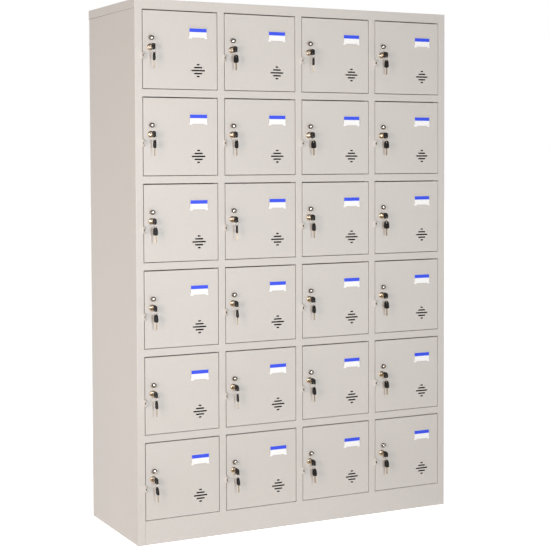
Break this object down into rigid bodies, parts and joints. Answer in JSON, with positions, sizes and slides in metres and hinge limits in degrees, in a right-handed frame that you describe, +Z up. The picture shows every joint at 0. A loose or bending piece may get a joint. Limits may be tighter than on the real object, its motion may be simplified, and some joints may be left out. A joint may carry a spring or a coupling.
{
  "type": "cube locker",
  "caption": "Steel cube locker with small hinged doors in rows and columns, each with a cam lock, keys, pull knob, padlock ears, card holder and ventilation slots.",
  "frame": {"origin": "middle of the bounding box at floor level", "axes": "+Z up, -Y towards the doors' front, +X to the right of someone facing the doors"},
  "size_m": [1.213, 0.5174, 1.83],
  "materials": {
    "powder_coat": "fine orange-peel powder coat, satin",
    "lock_metal": "bright nickel plating",
    "ear_zinc": "pale zinc, satin",
    "key_brass": "bright brass",
    "key_plastic": "black moulded plastic, satin",
    "card_paper": "plain card with a blue upper strip"
  },
  "bodies": {
    "cabinet": {"left_side_panel": "powder_coat", "right_side_panel": "powder_coat", "top_cap": "powder_coat", "back_and_base_sheet": "powder_coat", "partition_1": "powder_coat", "partition_2": "powder_coat", "partition_3": "powder_coat", "shelf_1": "powder_coat", "shelf_2": "powder_coat", "shelf_3": "powder_coat", "shelf_4": "powder_coat", "shelf_5": "powder_coat"},
    "door_r1_c1": {"door_r1_c1": "powder_coat"},
    "lock_r1_c1": {"lock_r1_c1": "lock_metal"},
    "door_r1_c2": {"door_r1_c2": "powder_coat"},
    "lock_r1_c2": {"lock_r1_c2": "lock_metal"},
    "door_r1_c3": {"door_r1_c3": "powder_coat"},
    "lock_r1_c3": {"lock_r1_c3": "lock_metal"},
    "door_r1_c4": {"door_r1_c4": "powder_coat"},
    "lock_r1_c4": {"lock_r1_c4": "lock_metal"},
    "door_r2_c1": {"door_r2_c1": "powder_coat"},
    "lock_r2_c1": {"lock_r2_c1": "lock_metal"},
    "door_r2_c2": {"door_r2_c2": "powder_coat"},
    "lock_r2_c2": {"lock_r2_c2": "lock_metal"},
    "door_r2_c3": {"door_r2_c3": "powder_coat"},
    "lock_r2_c3": {"lock_r2_c3": "lock_metal"},
    "door_r2_c4": {"door_r2_c4": "powder_coat"},
    "lock_r2_c4": {"lock_r2_c4": "lock_metal"},
    "door_r3_c1": {"door_r3_c1": "powder_coat"},
    "lock_r3_c1": {"lock_r3_c1": "lock_metal"},
    "door_r3_c2": {"door_r3_c2": "powder_coat"},
    "lock_r3_c2": {"lock_r3_c2": "lock_metal"},
    "door_r3_c3": {"door_r3_c3": "powder_coat"},
    "lock_r3_c3": {"lock_r3_c3": "lock_metal"},
    "door_r3_c4": {"door_r3_c4": "powder_coat"},
    "lock_r3_c4": {"lock_r3_c4": "lock_metal"},
    "door_r4_c1": {"door_r4_c1": "powder_coat"},
    "lock_r4_c1": {"lock_r4_c1": "lock_metal"},
    "door_r4_c2": {"door_r4_c2": "powder_coat"},
    "lock_r4_c2": {"lock_r4_c2": "lock_metal"},
    "door_r4_c3": {"door_r4_c3": "powder_coat"},
    "lock_r4_c3": {"lock_r4_c3": "lock_metal"},
    "door_r4_c4": {"door_r4_c4": "powder_coat"},
    "lock_r4_c4": {"lock_r4_c4": "lock_metal"},
    "door_r5_c1": {"door_r5_c1": "powder_coat"},
    "lock_r5_c1": {"lock_r5_c1": "lock_metal"},
    "door_r5_c2": {"door_r5_c2": "powder_coat"},
    "lock_r5_c2": {"lock_r5_c2": "lock_metal"},
    "door_r5_c3": {"door_r5_c3": "powder_coat"},
    "lock_r5_c3": {"lock_r5_c3": "lock_metal"},
    "door_r5_c4": {"door_r5_c4": "powder_coat"},
    "lock_r5_c4": {"lock_r5_c4": "lock_metal"},
    "door_r6_c1": {"door_r6_c1": "powder_coat"},
    "lock_r6_c1": {"lock_r6_c1": "lock_metal"},
    "door_r6_c2": {"door_r6_c2": "powder_coat"},
    "lock_r6_c2": {"lock_r6_c2": "lock_metal"},
    "door_r6_c3": {"door_r6_c3": "powder_coat"},
    "lock_r6_c3": {"lock_r6_c3": "lock_metal"},
    "door_r6_c4": {"door_r6_c4": "powder_coat"},
    "lock_r6_c4": {"lock_r6_c4": "lock_metal"}
  },
  "joints": [
    {"name": "door_r1_c1_hinge", "type": "hinge", "parent": "cabinet", "child": "door_r1_c1", "pos_m": [-0.3142, -0.20675, 1.66396], "axis": [0, 0, 1], "range_deg": [0, 105]},
    {"name": "lock_r1_c1_turn", "type": "hinge", "parent": "door_r1_c1", "child": "lock_r1_c1", "pos_m": [-0.5513, -0.21125, 1.6717], "axis": [0, -1, 0], "range_deg": [0, 90]},
    {"name": "door_r1_c2_hinge", "type": "hinge", "parent": "cabinet", "child": "door_r1_c2", "pos_m": [-0.0182, -0.20675, 1.66396], "axis": [0, 0, 1], "range_deg": [0, 105]},
    {"name": "lock_r1_c2_turn", "type": "hinge", "parent": "door_r1_c2", "child": "lock_r1_c2", "pos_m": [-0.2553, -0.21125, 1.6717], "axis": [0, -1, 0], "range_deg": [0, 90]},
    {"name": "door_r1_c3_hinge", "type": "hinge", "parent": "cabinet", "child": "door_r1_c3", "pos_m": [0.2778, -0.20675, 1.66396], "axis": [0, 0, 1], "range_deg": [0, 105]},
    {"name": "lock_r1_c3_turn", "type": "hinge", "parent": "door_r1_c3", "child": "lock_r1_c3", "pos_m": [0.0407, -0.21125, 1.6717], "axis": [0, -1, 0], "range_deg": [0, 90]},
    {"name": "door_r1_c4_hinge", "type": "hinge", "parent": "cabinet", "child": "door_r1_c4", "pos_m": [0.5738, -0.20675, 1.66396], "axis": [0, 0, 1], "range_deg": [0, 105]},
    {"name": "lock_r1_c4_turn", "type": "hinge", "parent": "door_r1_c4", "child": "lock_r1_c4", "pos_m": [0.3367, -0.21125, 1.6717], "axis": [0, -1, 0], "range_deg": [0, 90]},
    {"name": "door_r2_c1_hinge", "type": "hinge", "parent": "cabinet", "child": "door_r2_c1", "pos_m": [-0.3142, -0.20675, 1.37387], "axis": [0, 0, 1], "range_deg": [0, 105]},
    {"name": "lock_r2_c1_turn", "type": "hinge", "parent": "door_r2_c1", "child": "lock_r2_c1", "pos_m": [-0.5513, -0.21125, 1.38162], "axis": [0, -1, 0], "range_deg": [0, 90]},
    {"name": "door_r2_c2_hinge", "type": "hinge", "parent": "cabinet", "child": "door_r2_c2", "pos_m": [-0.0182, -0.20675, 1.37387], "axis": [0, 0, 1], "range_deg": [0, 105]},
    {"name": "lock_r2_c2_turn", "type": "hinge", "parent": "door_r2_c2", "child": "lock_r2_c2", "pos_m": [-0.2553, -0.21125, 1.38162], "axis": [0, -1, 0], "range_deg": [0, 90]},
    {"name": "door_r2_c3_hinge", "type": "hinge", "parent": "cabinet", "child": "door_r2_c3", "pos_m": [0.2778, -0.20675, 1.37387], "axis": [0, 0, 1], "range_deg": [0, 105]},
    {"name": "lock_r2_c3_turn", "type": "hinge", "parent": "door_r2_c3", "child": "lock_r2_c3", "pos_m": [0.0407, -0.21125, 1.38162], "axis": [0, -1, 0], "range_deg": [0, 90]},
    {"name": "door_r2_c4_hinge", "type": "hinge", "parent": "cabinet", "child": "door_r2_c4", "pos_m": [0.5738, -0.20675, 1.37387], "axis": [0, 0, 1], "range_deg": [0, 105]},
    {"name": "lock_r2_c4_turn", "type": "hinge", "parent": "door_r2_c4", "child": "lock_r2_c4", "pos_m": [0.3367, -0.21125, 1.38162], "axis": [0, -1, 0], "range_deg": [0, 90]},
    {"name": "door_r3_c1_hinge", "type": "hinge", "parent": "cabinet", "child": "door_r3_c1", "pos_m": [-0.3142, -0.20675, 1.08379], "axis": [0, 0, 1], "range_deg": [0, 105]},
    {"name": "lock_r3_c1_turn", "type": "hinge", "parent": "door_r3_c1", "child": "lock_r3_c1", "pos_m": [-0.5513, -0.21125, 1.09153], "axis": [0, -1, 0], "range_deg": [0, 90]},
    {"name": "door_r3_c2_hinge", "type": "hinge", "parent": "cabinet", "child": "door_r3_c2", "pos_m": [-0.0182, -0.20675, 1.08379], "axis": [0, 0, 1], "range_deg": [0, 105]},
    {"name": "lock_r3_c2_turn", "type": "hinge", "parent": "door_r3_c2", "child": "lock_r3_c2", "pos_m": [-0.2553, -0.21125, 1.09153], "axis": [0, -1, 0], "range_deg": [0, 90]},
    {"name": "door_r3_c3_hinge", "type": "hinge", "parent": "cabinet", "child": "door_r3_c3", "pos_m": [0.2778, -0.20675, 1.08379], "axis": [0, 0, 1], "range_deg": [0, 105]},
    {"name": "lock_r3_c3_turn", "type": "hinge", "parent": "door_r3_c3", "child": "lock_r3_c3", "pos_m": [0.0407, -0.21125, 1.09153], "axis": [0, -1, 0], "range_deg": [0, 90]},
    {"name": "door_r3_c4_hinge", "type": "hinge", "parent": "cabinet", "child": "door_r3_c4", "pos_m": [0.5738, -0.20675, 1.08379], "axis": [0, 0, 1], "range_deg": [0, 105]},
    {"name": "lock_r3_c4_turn", "type": "hinge", "parent": "door_r3_c4", "child": "lock_r3_c4", "pos_m": [0.3367, -0.21125, 1.09153], "axis": [0, -1, 0], "range_deg": [0, 90]},
    {"name": "door_r4_c1_hinge", "type": "hinge", "parent": "cabinet", "child": "door_r4_c1", "pos_m": [-0.3142, -0.20675, 0.79371], "axis": [0, 0, 1], "range_deg": [0, 105]},
    {"name": "lock_r4_c1_turn", "type": "hinge", "parent": "door_r4_c1", "child": "lock_r4_c1", "pos_m": [-0.5513, -0.21125, 0.80145], "axis": [0, -1, 0], "range_deg": [0, 90]},
    {"name": "door_r4_c2_hinge", "type": "hinge", "parent": "cabinet", "child": "door_r4_c2", "pos_m": [-0.0182, -0.20675, 0.79371], "axis": [0, 0, 1], "range_deg": [0, 105]},
    {"name": "lock_r4_c2_turn", "type": "hinge", "parent": "door_r4_c2", "child": "lock_r4_c2", "pos_m": [-0.2553, -0.21125, 0.80145], "axis": [0, -1, 0], "range_deg": [0, 90]},
    {"name": "door_r4_c3_hinge", "type": "hinge", "parent": "cabinet", "child": "door_r4_c3", "pos_m": [0.2778, -0.20675, 0.79371], "axis": [0, 0, 1], "range_deg": [0, 105]},
    {"name": "lock_r4_c3_turn", "type": "hinge", "parent": "door_r4_c3", "child": "lock_r4_c3", "pos_m": [0.0407, -0.21125, 0.80145], "axis": [0, -1, 0], "range_deg": [0, 90]},
    {"name": "door_r4_c4_hinge", "type": "hinge", "parent": "cabinet", "child": "door_r4_c4", "pos_m": [0.5738, -0.20675, 0.79371], "axis": [0, 0, 1], "range_deg": [0, 105]},
    {"name": "lock_r4_c4_turn", "type": "hinge", "parent": "door_r4_c4", "child": "lock_r4_c4", "pos_m": [0.3367, -0.21125, 0.80145], "axis": [0, -1, 0], "range_deg": [0, 90]},
    {"name": "door_r5_c1_hinge", "type": "hinge", "parent": "cabinet", "child": "door_r5_c1", "pos_m": [-0.3142, -0.20675, 0.50362], "axis": [0, 0, 1], "range_deg": [0, 105]},
    {"name": "lock_r5_c1_turn", "type": "hinge", "parent": "door_r5_c1", "child": "lock_r5_c1", "pos_m": [-0.5513, -0.21125, 0.51137], "axis": [0, -1, 0], "range_deg": [0, 90]},
    {"name": "door_r5_c2_hinge", "type": "hinge", "parent": "cabinet", "child": "door_r5_c2", "pos_m": [-0.0182, -0.20675, 0.50362], "axis": [0, 0, 1], "range_deg": [0, 105]},
    {"name": "lock_r5_c2_turn", "type": "hinge", "parent": "door_r5_c2", "child": "lock_r5_c2", "pos_m": [-0.2553, -0.21125, 0.51137], "axis": [0, -1, 0], "range_deg": [0, 90]},
    {"name": "door_r5_c3_hinge", "type": "hinge", "parent": "cabinet", "child": "door_r5_c3", "pos_m": [0.2778, -0.20675, 0.50362], "axis": [0, 0, 1], "range_deg": [0, 105]},
    {"name": "lock_r5_c3_turn", "type": "hinge", "parent": "door_r5_c3", "child": "lock_r5_c3", "pos_m": [0.0407, -0.21125, 0.51137], "axis": [0, -1, 0], "range_deg": [0, 90]},
    {"name": "door_r5_c4_hinge", "type": "hinge", "parent": "cabinet", "child": "door_r5_c4", "pos_m": [0.5738, -0.20675, 0.50362], "axis": [0, 0, 1], "range_deg": [0, 105]},
    {"name": "lock_r5_c4_turn", "type": "hinge", "parent": "door_r5_c4", "child": "lock_r5_c4", "pos_m": [0.3367, -0.21125, 0.51137], "axis": [0, -1, 0], "range_deg": [0, 90]},
    {"name": "door_r6_c1_hinge", "type": "hinge", "parent": "cabinet", "child": "door_r6_c1", "pos_m": [-0.3142, -0.20675, 0.21354], "axis": [0, 0, 1], "range_deg": [0, 105]},
    {"name": "lock_r6_c1_turn", "type": "hinge", "parent": "door_r6_c1", "child": "lock_r6_c1", "pos_m": [-0.5513, -0.21125, 0.22128], "axis": [0, -1, 0], "range_deg": [0, 90]},
    {"name": "door_r6_c2_hinge", "type": "hinge", "parent": "cabinet", "child": "door_r6_c2", "pos_m": [-0.0182, -0.20675, 0.21354], "axis": [0, 0, 1], "range_deg": [0, 105]},
    {"name": "lock_r6_c2_turn", "type": "hinge", "parent": "door_r6_c2", "child": "lock_r6_c2", "pos_m": [-0.2553, -0.21125, 0.22128], "axis": [0, -1, 0], "range_deg": [0, 90]},
    {"name": "door_r6_c3_hinge", "type": "hinge", "parent": "cabinet", "child": "door_r6_c3", "pos_m": [0.2778, -0.20675, 0.21354], "axis": [0, 0, 1], "range_deg": [0, 105]},
    {"name": "lock_r6_c3_turn", "type": "hinge", "parent": "door_r6_c3", "child": "lock_r6_c3", "pos_m": [0.0407, -0.21125, 0.22128], "axis": [0, -1, 0], "range_deg": [0, 90]},
    {"name": "door_r6_c4_hinge", "type": "hinge", "parent": "cabinet", "child": "door_r6_c4", "pos_m": [0.5738, -0.20675, 0.21354], "axis": [0, 0, 1], "range_deg": [0, 105]},
    {"name": "lock_r6_c4_turn", "type": "hinge", "parent": "door_r6_c4", "child": "lock_r6_c4", "pos_m": [0.3367, -0.21125, 0.22128], "axis": [0, -1, 0], "range_deg": [0, 90]}
  ]
}
